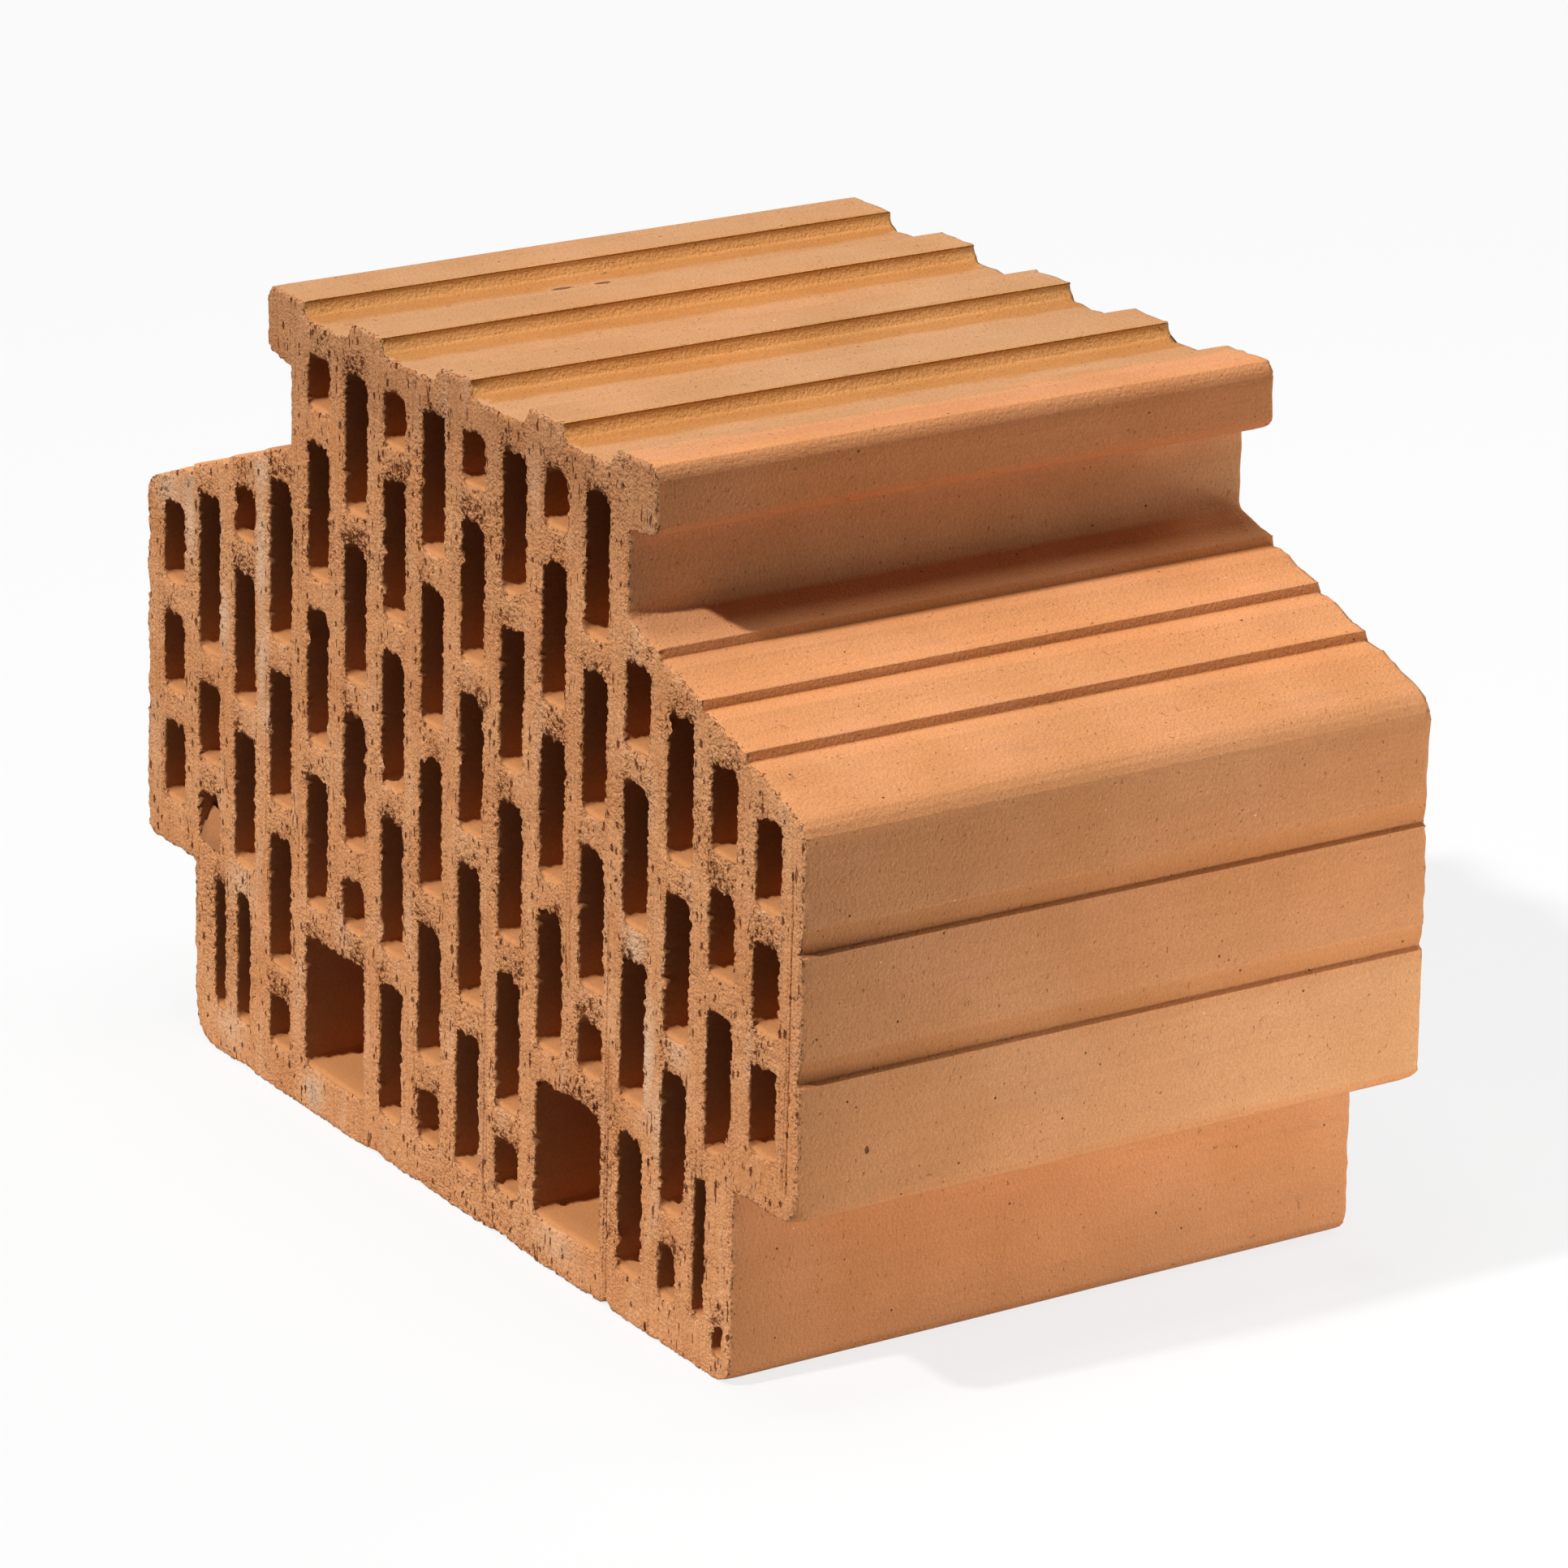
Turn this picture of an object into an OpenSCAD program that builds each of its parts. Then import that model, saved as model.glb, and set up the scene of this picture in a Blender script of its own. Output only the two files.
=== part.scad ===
// Clay ceiling block: one extruded and fired piece that hangs between two floor beams by its side ledges.
// The section lies in X and Z and the extrusion runs along Y, between two wire-cut ends.
// The origin is in the middle of the underside.

/* [Block] */
// Width over the two side flanges
block_w = 360; // [300:5:480]
// Height from the underside to the rib tops
block_h = 238; // [190:2:300]
// Length between the two wire-cut ends
block_l = 200; // [100:5:333]

/* [Lower body] */
// Width of each bearing ledge, which sets the lower body in from the flanges
ledge_w = 30; // [20:1:40]
// Height of the bearing ledges above the underside
ledge_h = 55; // [54:1:70]
// Radius of the two long bottom edges
body_edge_r = 7; // [2:0.5:10]
// Radius of the root where each ledge meets the lower body
ledge_root_r = 1.5; // [0.5:0.5:4]

/* [Flanges] */
// Radius of the flange's lower edge
flange_foot_r = 5; // [1:0.5:8]
// Radius where the flange's side turns into the shoulder
flange_top_r = 12; // [4:1:18]
// Height from one side groove to the next, counted down from the shoulder's edge
side_groove_pitch = 35; // [20:1:50]
// Number of grooves along each flange's side
side_grooves = 2; // [0:1:4]
// Depth of a side groove
side_groove_depth = 1.4; // [0.5:0.1:3]
// Height over which a side groove fades out upwards
side_groove_fade = 7.5; // [4:0.5:12]

/* [Shoulders] */
// Fall of the shoulders below level, in degrees
shoulder_fall = 19.5; // [10:0.5:24]
// Number of lips across each shoulder
lips = 3; // [0:1:3]
// Distance from the neck to the first lip
lip_first = 16; // [12:0.5:20]
// Distance from one lip to the next
lip_pitch = 21.6; // [18:0.2:26]
// Height of a lip's step
lip_step = 2.4; // [1:0.1:4]

/* [Neck and head] */
// Width of the neck
neck_w = 184; // [150:2:200]
// Height of the neck between the shoulders and the head
neck_h = 23; // [12:1:40]
// Radius of the neck's foot
neck_foot_r = 5; // [1:0.5:8]
// Width of the head
head_w = 211; // [200:1:240]
// Thickness of the head at the neck
head_h = 20.5; // [16:0.5:30]
// Rise of the head's underside from the neck to its edge
head_rise = 1; // [0:0.5:3]
// Radius of the head's long top edges
head_top_r = 7; // [1:0.5:9]
// Radius of the head's long lower edges
head_foot_r = 3.5; // [1:0.5:5]

/* [Top ribs] */
// Width of the middle rib and of the two beside it
rib_w = 16.5; // [10:0.5:20]
// Width of the two grooves beside the middle rib, at the top
inner_groove_w = 32; // [20:1:34]
// Width of the two outer grooves, at the top
outer_groove_w = 28; // [16:1:30]
// Depth of the grooves
groove_depth = 4.8; // [2:0.2:6]
// Sideways run of a groove's sloping wall
groove_run = 3.5; // [1:0.5:5]
// Radius of a groove's foot
groove_foot_r = 2; // [0.5:0.5:3]

/* [Slots] */
// Distance from one column of slots to the next
column_pitch = 21.7; // [20:0.1:26]
// Width of a slot
slot_w = 12.7; // [8:0.1:14]
// Height of a whole slot
slot_h = 38.9; // [30:0.1:44]
// Height of the web between two slots of a column
slot_web = 9.9; // [6:0.1:14]
// Height of the lowest slots above the underside
slot_foot = 14; // [8:0.5:20]
// Radius of a slot's corners
slot_r = 2; // [0.5:0.5:4]
// Clay left over the slots, under the grooves
top_skin = 9.5; // [6:0.5:14]
// Clay left over the slots, under the shoulders
shoulder_skin = 7.3; // [5:0.1:12]
// Clay left outside the outermost slots
side_skin = 10; // [8:0.5:14]
// Clay left under the flange slots next to the lower body
flange_skin = 7; // [5:0.5:12]
// Clay left under the outer flange slots
flange_outer_skin = 15; // [8:0.5:20]

/* [Corner slots] */
// Width of the inner slot in the lower body's left corner
left_inner_w = 8; // [5:0.5:12]
// Width of the thin slot outside it
left_thin_w = 6.5; // [4:0.5:8]
// Width of the thin slot in the lower body's right corner
right_thin_w = 6; // [4:0.5:8]
// Width of the small slot outside it
right_small_w = 5; // [4:0.5:6]
// Height of the small slot
right_small_h = 8; // [6:0.5:12]
// Height of its foot above the underside
right_small_foot = 7; // [6:0.5:10]
// Least clay on each side of a corner slot
corner_web = 3; // [2:0.5:5]

/* [Hidden] */

// Largest turn of one flat on a rounded edge, in degrees
arc_step = 18;
// Least height that a slot is made with
slot_least = 10;
// Radius of the small edges: the rib tops, the lips and the side grooves
edge_r = 0.8;
// Width of the strip that leads up to a lip from outside, and of the dip behind its crest
lip_lead = 6.8;
lip_dip = 6.6;
// Distance of the foot and of the crest of a lip's step from the lip's place
lip_foot = 0.8;
lip_crest = 1.2;
// Distance of the middle of a grip hole from the block's middle, counted in columns
grip_place = 3;
// Clay beside the two left corner slots, from the inside out, in shares
left_corner_clay = [5, 3, 5];
// The same for the two right corner slots
right_corner_clay = [1, 1, 1];

body_w = block_w - 2 * ledge_w;
head_foot_z = block_h - head_h;
shoulder_z = head_foot_z - neck_h;
row_pitch = slot_h + slot_web;
field_top = block_h - groove_depth - top_skin;
grip_top = slot_foot + slot_h;
columns_a_side = floor((block_w / 2 - side_skin + (column_pitch - slot_w) / 2) / column_pitch);
corner_room = right_thin_w + right_small_w + 3 * corner_web;

// Sum of the first n values of a list
function sum(v, n) = n == 0 ? 0 : v[n - 1] + sum(v, n - 1);

// --- rounded outlines -------------------------------------------------------------------------------

// An outline is a list of corners [across, up, radius], and each corner becomes an arc between its sides.
function flat(c) = [c[0], c[1]];
function unit(v) = v / norm(v);
function turned(v, a) = [v[0] * cos(a) - v[1] * sin(a), v[0] * sin(a) + v[1] * cos(a)];

function corner_arc(before, c, after) =
    let (
        u = unit(flat(before) - flat(c)),
        v = unit(flat(after) - flat(c)),
        half = acos(u * v) / 2,
        centre = flat(c) + unit(u + v) * c[2] / sin(half),
        start = flat(c) + u * c[2] / tan(half) - centre,
        turn = (180 - 2 * half) * sign(cross(v, u)),
        steps = ceil(abs(turn) / arc_step)
    )
    [for (k = [0 : steps]) centre + turned(start, turn * k / steps)];

function rounded(corners) =
    let (n = len(corners))
    [for (i = [0 : n - 1]) each corner_arc(corners[(i + n - 1) % n], corners[i], corners[(i + 1) % n])];

// --- outer section ----------------------------------------------------------------------------------

// Height of the plain shoulder at a distance x from the middle
function shoulder_at(x) = shoulder_z - (x - neck_w / 2) * tan(shoulder_fall);

function on_shoulder(x, above, r) = [x, shoulder_at(x) + above, r];

// One lip, from the outside in: the strip below it, the foot of its step, its crest, and the dip behind it.
// The crest stands a fifth of the step above the plain shoulder, and the rest of the step lies below it.
function lip(x) =
    let (above = lip_step / 5, below = lip_step - above)
    [
        on_shoulder(x + lip_lead, above, 3 * edge_r),
        on_shoulder(x + lip_foot, -below, edge_r),
        on_shoulder(x - lip_crest, above, edge_r),
        on_shoulder(x - lip_dip, -below / 3, 3 * edge_r)
    ];

// A side groove is sharp at its foot and fades out upwards
function side_groove(z) = [
    [block_w / 2, z, edge_r / 2],
    [block_w / 2 - side_groove_depth, z + 1, edge_r / 2],
    [block_w / 2, z + side_groove_fade, edge_r]
];

// A groove in the top, from its outer edge x, with its opening w wide
function top_groove(x, w) = [
    [x, block_h, edge_r],
    [x - groove_run, block_h - groove_depth, groove_foot_r],
    [x - w + groove_run, block_h - groove_depth, groove_foot_r],
    [x - w, block_h, edge_r]
];

flange_top_z = shoulder_at(block_w / 2);
groove_low = ledge_h + flange_foot_r + 2;
groove_feet = [for (k = [side_grooves : -1 : 1]) flange_top_z - k * side_groove_pitch];
lip_last = block_w / 2 - flange_top_r - 8;
lip_places = [for (k = [lips - 1 : -1 : 0]) neck_w / 2 + lip_first + k * lip_pitch];
inner_groove_x = rib_w / 2 + inner_groove_w;
outer_groove_x = inner_groove_x + rib_w + outer_groove_w;

right_side = concat(
    [[body_w / 2, 0, body_edge_r], [body_w / 2, ledge_h, ledge_root_r], [block_w / 2, ledge_h, flange_foot_r]],
    [for (z = groove_feet) if (z > groove_low) each side_groove(z)],
    [[block_w / 2, flange_top_z, flange_top_r]],
    [for (x = lip_places) if (x < lip_last) each lip(x)],
    [[neck_w / 2, shoulder_z, neck_foot_r], [neck_w / 2, head_foot_z, edge_r]],
    [[head_w / 2, head_foot_z + head_rise, head_foot_r], [head_w / 2, block_h, head_top_r]],
    top_groove(outer_groove_x, outer_groove_w),
    top_groove(inner_groove_x, inner_groove_w)
);
left_side = [for (k = [len(right_side) - 1 : -1 : 0]) [-right_side[k][0], right_side[k][1], right_side[k][2]]];

module outer_section() polygon(rounded(concat(right_side, left_side)));

// --- slots ------------------------------------------------------------------------------------------

// Columns are numbered outwards from the middle: 0, 1, 2 to the right and -1, -2, -3 to the left.
function column_x(j) = (j + 0.5) * column_pitch;
function outer_edge(j) = abs(column_x(j)) + slot_w / 2;
function under_head(j) = outer_edge(j) < neck_w / 2;
function in_body(j) = outer_edge(j) < body_w / 2 - corner_room;
function grip_column(j) = abs(abs(j + 0.5) - grip_place) < 1;

// Height that a column's top slot may reach
function roof(j) = under_head(j) ? field_top : shoulder_at(outer_edge(j)) - shoulder_skin;

// A column of the staggered pattern: the even columns start with a whole slot, the others half a row lower.
// The slot that has no room for another above it runs up to the roof.
function staggered(j, lowest) =
    let (
        start = slot_foot - (j % 2 == 0 ? 0 : row_pitch / 2),
        rows = ceil((roof(j) - start) / row_pitch)
    )
    [for (k = [0 : rows - 1])
        let (
            foot = max(start + k * row_pitch, lowest),
            next = start + (k + 1) * row_pitch,
            top = next + slot_least > roof(j) ? roof(j) : next - slot_web
        )
        if (top - foot > slot_least) [foot, top]];

// A column of slots between foot and top that share its height in the given parts
function shared(foot, top, parts) =
    let (
        n = len(parts),
        part_h = (top - foot - slot_web * (n - 1)) / sum(parts, n)
    )
    [for (k = [0 : n - 1])
        let (below = foot + k * slot_web)
        [below + part_h * sum(parts, k), below + part_h * sum(parts, k + 1)]];

// The middles of slots set side by side between a and b, with the clay beside them in the given shares
function placed(a, b, widths, clay) =
    let (share = (b - a - sum(widths, len(widths))) / sum(clay, len(clay)))
    [for (k = [0 : len(widths) - 1]) a + share * sum(clay, k + 1) + sum(widths, k) + widths[k] / 2];

function first_flange_column(j) = in_body(j > 0 ? j - 1 : j + 1);

function flange_column(j) =
    first_flange_column(j)
        ? shared(ledge_h + flange_skin, roof(j), j > 0 ? [5, 3, 3] : [2, 3, 6])
        : shared(ledge_h + flange_outer_skin, roof(j), [1, 1, 1]);

// The last left column inside the lower body leaves its foot to a narrower slot
function narrow_foot(j) = j < 0 && in_body(j) && !in_body(j - 1);

function column_slots(j) =
    !in_body(j) ? flange_column(j)
    : staggered(j, grip_column(j) || narrow_foot(j) ? grip_top + slot_web : slot_foot);

module slot(x, w, foot, top) {
    polygon(rounded([
        [x - w / 2, foot, slot_r],
        [x + w / 2, foot, slot_r],
        [x + w / 2, top, slot_r],
        [x - w / 2, top, slot_r]
    ]));
}

module slot_field() {
    for (j = [-columns_a_side : columns_a_side - 1])
        for (s = column_slots(j))
            slot(column_x(j), slot_w, s[0], s[1]);
}

// Two holes for the hands, each across two columns
module grip_holes() {
    for (side = [-1, 1])
        slot(side * grip_place * column_pitch, column_pitch + slot_w, slot_foot, grip_top);
}

// The lower body's corners, where the columns no longer fit
last_column = max([for (j = [0 : columns_a_side - 1]) if (in_body(j)) j]);
left_corner_x = placed(outer_edge(last_column - 1), body_w / 2, [left_inner_w, left_thin_w], left_corner_clay);
right_corner_x = placed(outer_edge(last_column), body_w / 2, [right_thin_w, right_small_w], right_corner_clay);

module corner_slots() {
    slot(-left_corner_x[0], left_inner_w, slot_foot, grip_top);
    slot(-left_corner_x[1], left_thin_w, slot_foot, grip_top);
    slot(right_corner_x[0], right_thin_w, slot_foot, grip_top);
    slot(right_corner_x[1], right_small_w, right_small_foot, right_small_foot + right_small_h);
}

// --- block ------------------------------------------------------------------------------------------

module block() {
    color([0.80, 0.55, 0.38])
    rotate([90, 0, 0])
    linear_extrude(height = block_l, center = true)
    difference() {
        outer_section();
        slot_field();
        grip_holes();
        corner_slots();
    }
}

block();
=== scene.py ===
import math

import bmesh
import bpy
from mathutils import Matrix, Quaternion, Vector, kdtree, noise


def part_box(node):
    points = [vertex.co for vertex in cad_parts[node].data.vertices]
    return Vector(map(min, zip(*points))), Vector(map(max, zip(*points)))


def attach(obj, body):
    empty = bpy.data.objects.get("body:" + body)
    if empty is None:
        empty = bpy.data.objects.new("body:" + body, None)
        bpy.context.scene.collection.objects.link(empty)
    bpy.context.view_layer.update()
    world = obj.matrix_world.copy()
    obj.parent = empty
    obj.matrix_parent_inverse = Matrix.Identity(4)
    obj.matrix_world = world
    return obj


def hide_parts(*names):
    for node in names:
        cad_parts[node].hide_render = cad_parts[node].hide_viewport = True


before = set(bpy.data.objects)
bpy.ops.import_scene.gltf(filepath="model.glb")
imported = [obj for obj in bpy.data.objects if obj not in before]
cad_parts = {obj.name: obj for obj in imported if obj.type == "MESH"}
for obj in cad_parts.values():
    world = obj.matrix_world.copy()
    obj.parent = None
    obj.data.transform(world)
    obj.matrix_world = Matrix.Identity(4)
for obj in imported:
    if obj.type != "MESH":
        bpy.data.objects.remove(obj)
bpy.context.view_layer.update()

# ---------------------------------------------------------------------------------------------
# The block. Clay is forced through a die that gives its outline, its slots and its two grip
# holes, and the column is cut across with a wire. The wire drags the soft clay, so the cut ends
# are torn and gritty while the drawn faces stay fine. It is then dried and fired in one piece.

mm = 0.001
low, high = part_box("block")
length = high.y - low.y

# Where the die's outline turns, in millimetres from the middle of the block and up from its foot.
block_top, groove_depth, groove_feet = 238, 4.8, (93.3, 128.3)
head_side, neck_side, body_side, flange_side = 105.5, 92, 150, 180
head_foot, neck_foot, ledge = 217, 194.5, 55
lips = (108.0, 129.6, 151.2)
crests = (-84.8, -40.3, 8.2, 56.7)
shoulder_fall = math.tan(math.radians(19.5))

# The die's section, taken from the far end of the block's solid.
clay = bmesh.new()
clay.from_mesh(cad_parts["block"].data)
bmesh.ops.remove_doubles(clay, verts=clay.verts[:], dist=2e-5)
clay.normal_update()
bmesh.ops.delete(clay, geom=[f for f in clay.faces if f.normal.y < 0.9], context="FACES")
for edge in clay.edges:
    edge.seam = not edge.is_boundary


def die_lines(axis, step):
    """Where the die's straight walls stand along an axis, with even steps in between."""
    walls = sorted(
        e.verts[0].co[axis]
        for e in clay.edges
        if e.is_boundary and e.calc_length() > 1.5 * mm
        and abs(e.verts[0].co[axis] - e.verts[1].co[axis]) < 1e-6
    )
    kept = walls[:1]
    for wall in walls:
        if wall - kept[-1] > 0.6 * mm:
            kept.append(wall)
    lines = []
    for a, b in zip(kept, kept[1:]):
        parts = max(1, round((b - a) / step))
        lines += [a + (b - a) * (k + 0.5) / parts for k in range(parts)]
    return lines


across, upward = die_lines(0, 4.4 * mm), die_lines(2, 3.0 * mm)
upward += [(block_top - deep) * mm for deep in (2.4, 1.2)]
for axis, lines in ((0, across), (2, upward)):
    way = Vector((axis == 0, 0, axis == 2))
    for line in lines:
        bmesh.ops.bisect_plane(
            clay, geom=clay.verts[:] + clay.edges[:] + clay.faces[:], dist=0.1 * mm,
            plane_co=way * line, plane_no=way,
        )
bmesh.ops.dissolve_limit(
    clay, angle_limit=0.01, use_dissolve_boundaries=False, verts=clay.verts[:],
    edges=[e for e in clay.edges if e.seam],
)
bmesh.ops.dissolve_degenerate(clay, dist=0.04 * mm, edges=clay.edges[:])


def between(value, *stops):
    """A height that runs straight from stop to stop."""
    for (a, start), (b, end) in zip(stops, stops[1:]):
        if a <= value <= b:
            return start + (end - start) * (value - a) / (b - a)
    return 0.0


# The outline's corners that are tighter than plain rounds: middle of the round, its radius, its new
# radius, the way that the middle slides, and whether the round is clay or air.
head_round = (98.5, 231.0, 7.0, 4.5, (1, 1), True)
flange_round = (168.0, 154.86, 12.0, 8.0, (1, 0.707), True)
neck_round = (97.0, 198.03, 5.0, 2.2, (1, 0.707), False)
steepest = 0.354

# The die has worn: a lip ends in an upright step, and a rib stands upright over a cove on its right.
for v in clay.verts:
    x, z, side = abs(v.co.x) / mm, v.co.z / mm, math.copysign(1, v.co.x)
    under = neck_foot - (x - neck_side) * shoulder_fall - z
    if neck_side + 2 < x < flange_side - 15 and under < 6:
        kept = min(1.0, (6 - under) / 5)
        for lip in lips:
            u = x - lip
            v.co.x += side * kept * mm * between(u, (-3, 0), (-1.15, 0.55), (0.86, -0.8), (3.5, 0))
            v.co.z += kept * mm * between(
                u, (-12, 0), (-6.9, 0.8), (-1.15, 0.4), (-0.3, 0.3), (0.86, 0.9), (1.3, 0.9), (6, 0))
    deep = block_top - z
    for crest in crests:
        face = 0.3 + between(deep, (0, -0.3), (0.33, 0), (3.98, 2.66), (4.42, 3.1), (groove_depth, 4.3))
        behind = crest + face - v.co.x / mm
        if deep < groove_depth and -0.5 < behind < 4:
            hollow = between(
                deep, (0.3, 0), (1.2, 0.62), (2.4, 1.25), (3.98, 1.3), (4.42, 0.75), (groove_depth, 0))
            v.co.x -= hollow * (1 - max(0.0, behind) / 4) * mm
    for middle_x, middle_z, old, new, slide, is_clay in (head_round, flange_round, neck_round):
        out_x, out_z = x - middle_x, z - middle_z
        reach = math.hypot(out_x, out_z)
        if is_clay:
            inside = out_x > 0 and out_z > 0 and (slide[1] == 1 or out_x / out_z > steepest)
            fade, closer = (reach / old) ** 2, old - new
        else:
            inside = out_x < 0 and out_z < 0 and out_x / out_z > steepest and reach > old - 0.1
            fade, closer = max(0.0, 1 - (reach - old) / 4), new - old
        if inside and reach < old + 4:
            v.co.x += side * fade * (closer * slide[0] + (new - old) * out_x / reach) * mm
            v.co.z += fade * (closer * slide[1] + (new - old) * out_z / reach) * mm

# The column is drawn from the far cut to the near one, with rings of clay close to each cut. The wire
# moves clay as far back as the first of them.
worn_back = 11.0
near_rings = (worn_back * mm, 5.0 * mm, 2.2 * mm, 0.8 * mm, 0.0)
far_rings = (1.2 * mm, 5.0 * mm)
stations = [high.y - ring for ring in far_rings] + [low.y + ring for ring in near_rings]
section = clay.faces[:]
place = high.y
for station in stations:
    drawn = bmesh.ops.extrude_face_region(clay, geom=section)["geom"]
    if place < high.y:
        bmesh.ops.delete(clay, geom=section, context="FACES_KEEP_BOUNDARY")
    section = [g for g in drawn if isinstance(g, bmesh.types.BMFace)]
    bmesh.ops.translate(
        clay, vec=(0, station - place, 0), verts=[g for g in drawn if isinstance(g, bmesh.types.BMVert)]
    )
    place = station
bmesh.ops.recalc_face_normals(clay, faces=clay.faces[:])
clay.normal_update()

CUT, DRAWN, SLOT = 0, 1, 2
for face in clay.faces:
    face.material_index = CUT if abs(face.normal.y) > 0.9 else SLOT


def spread(start, kind):
    """The drawn faces that hang together with the first ones, all made one kind."""
    for face in start:
        face.material_index = kind
    found = list(start)
    for face in found:
        for edge in face.edges:
            for other in edge.link_faces:
                if other.material_index == SLOT:
                    other.material_index = kind
                    found.append(other)
    return found


outermost = min((v for v in clay.verts), key=lambda v: v.co.x)
spread([f for f in outermost.link_faces if f.material_index == SLOT], DRAWN)

# Finer clay at the near cut, and finer again along its rims.
same_ring, longest = 0.01 * mm, 0.9 * mm
for reach, only_rims in ((5.1 * mm, False), (2.3 * mm, True)):
    coarse = [
        e for e in clay.edges
        if abs(e.verts[0].co.y - e.verts[1].co.y) < same_ring and e.verts[0].co.y < low.y + reach
        and e.calc_length() > longest
        and not (only_rims and all(f.material_index == CUT for f in e.link_faces))
    ]
    bmesh.ops.subdivide_edges(clay, edges=coarse, cuts=1, use_grid_fill=True)


def split(band, place, way):
    """Cut a band of faces through along a plane."""
    parts = list({e for f in band for e in f.edges}) + list({v for f in band for v in f.verts})
    bmesh.ops.bisect_plane(clay, geom=parts + band, dist=1e-5, plane_co=place, plane_no=way)


# The drawn faces waver a little, so they get a row of points every 14 mm.
for row in range(12):
    outside = [f for f in clay.faces if f.material_index == DRAWN]
    split(outside, (0, low.y + (20 + 14 * row) * mm, 0), (0, 1, 0))

# Scores that grit under the wire left in the near cut: place across, foot, top, and depth.
scores = (
    (86.5, 0, 76, 1.6), (85.0, 8, 112, 0.8), (88.2, 20, 70, 0.5), (20.6, 6, 72, 1.3),
    (19.2, 30, 72, 0.5), (22.2, 6, 40, 0.4), (-18.5, 0, 46, 0.6), (63.5, 84, 124, 0.6),
    (65.2, 84, 112, 0.5), (-172.0, 100, 136, 0.5), (-169.8, 96, 145, 0.5), (175.0, 62, 150, 1.3),
    (173.2, 64, 120, 0.5), (-87.5, 148, 178, 0.6), (-106.2, 76, 128, 0.6), (-113.0, 120, 176, 0.4),
    (-86.5, 66, 90, 0.5),
)
score_half, score_core = 0.4, 0.25
for across_at, foot, top, depth in scores:
    for side in (-score_half, 0.0, score_half):
        band = [f for f in clay.faces if f.material_index == CUT and f.normal.y < 0
                and abs(f.calc_center_bounds().x / mm - across_at) < 3
                and foot <= f.calc_center_bounds().z / mm <= top]
        split(band, ((across_at + side) * mm, 0, 0), (1, 0, 0))
clay.verts.index_update()
clay.normal_update()

# Each slot's own box, so that its corners can be dragged shut and its lips worn by their place in it.
rim_of = {}
walls_left = [f for f in clay.faces if f.material_index == SLOT]
GROUP = 3
for face in walls_left:
    if face.material_index != SLOT:
        continue
    walls = spread([face], GROUP)
    corners = {v for f in walls for v in f.verts}
    span = [fn(v.co[axis] / mm for v in corners) for axis in (0, 2) for fn in (min, max)]
    for v in corners:
        rim_of[v.index] = span
for face in walls_left:
    face.material_index = SLOT
out_way = {}
for v in clay.verts:
    walls = [f for f in v.link_faces if f.material_index != CUT]
    if walls:
        way = Vector((sum(f.normal.x for f in walls), 0, sum(f.normal.z for f in walls)))
        out_way[v.index] = way.normalized() if way.length > 0 else Vector((0, 0, 1))


# Each cut tears in its own way, and only the near one has the listed marks.
NEAR, FAR = 0, 50


def grain(x, z, size, seed):
    """A soft random number, about -1 to 1, that changes over size millimetres."""
    return 1.6 * noise.noise(Vector((x / size, seed * 7.3, z / size)))


# Clay knocked off the near cut's outline: place across and up, reach, and depth.
chips = (
    (86.5, 0, 2.0, 2.4), (180, 55, 4.5, 2.2), (-180, 147, 5, 1.2), (-180, 108, 5, 1.1), (-151.5, 0, 9, 2.2),
    (-180, 62, 4, 0.8), (-120, 0, 6, 1.0), (-40, 0, 5, 0.8), (30, 0, 7, 0.8), (151.5, 0, 3, 0.8),
)
# Dragged clay that fills a corner of a slot: the slot's middle and foot, the corner (1 is right or top,
# -1 is left or foot), and how far it reaches across and up.
fills = (
    (141.05, 62, 1, -1, 10.5, 15.0), (119.35, 38.4, 1, -1, 4.0, 19.0), (133.1, 14, 1, -1, 4.0, 4.0),
    (143.1, 7, -1, 1, 3.0, 4.0), (86.0, 0, 1, 1, 3.0, 3.0),
)
# Knots of torn clay that cling to a slot's rim: place across and up, and size.
knots = (
    (-81.1, 141.0, 1.6), (-36.6, 178.4, 1.9), (-127.9, 119.9, 1.3), (-124.9, 168.6, 1.6), (-39.4, 115.8, 2.0),
    (-16.6, 126.2, 1.6), (-60.8, 99.1, 1.8), (92.1, 21.9, 1.8), (36.4, 34.4, 1.5), (4.2, 187.5, 1.3),
    (48.2, 200.0, 2.2), (17.4, 149.4, 2.0), (36.2, 184.1, 1.4), (110.9, 170.2, 1.5),
)


def rounded(x, z, span, side, end, wide, tall):
    """The way back from a slot's corner to a round one of the given reach."""
    left, right, foot, top = span
    u = 1 - ((right - x) if side > 0 else (x - left)) / wide
    w = 1 - ((top - z) if end > 0 else (z - foot)) / tall
    if u <= 0 or w <= 0 or math.hypot(u, w) <= 1:
        return Vector()
    pull = 1 / math.hypot(u, w) - 1
    return Vector((side * u * wide * pull, 0, end * w * tall * pull))


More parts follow.
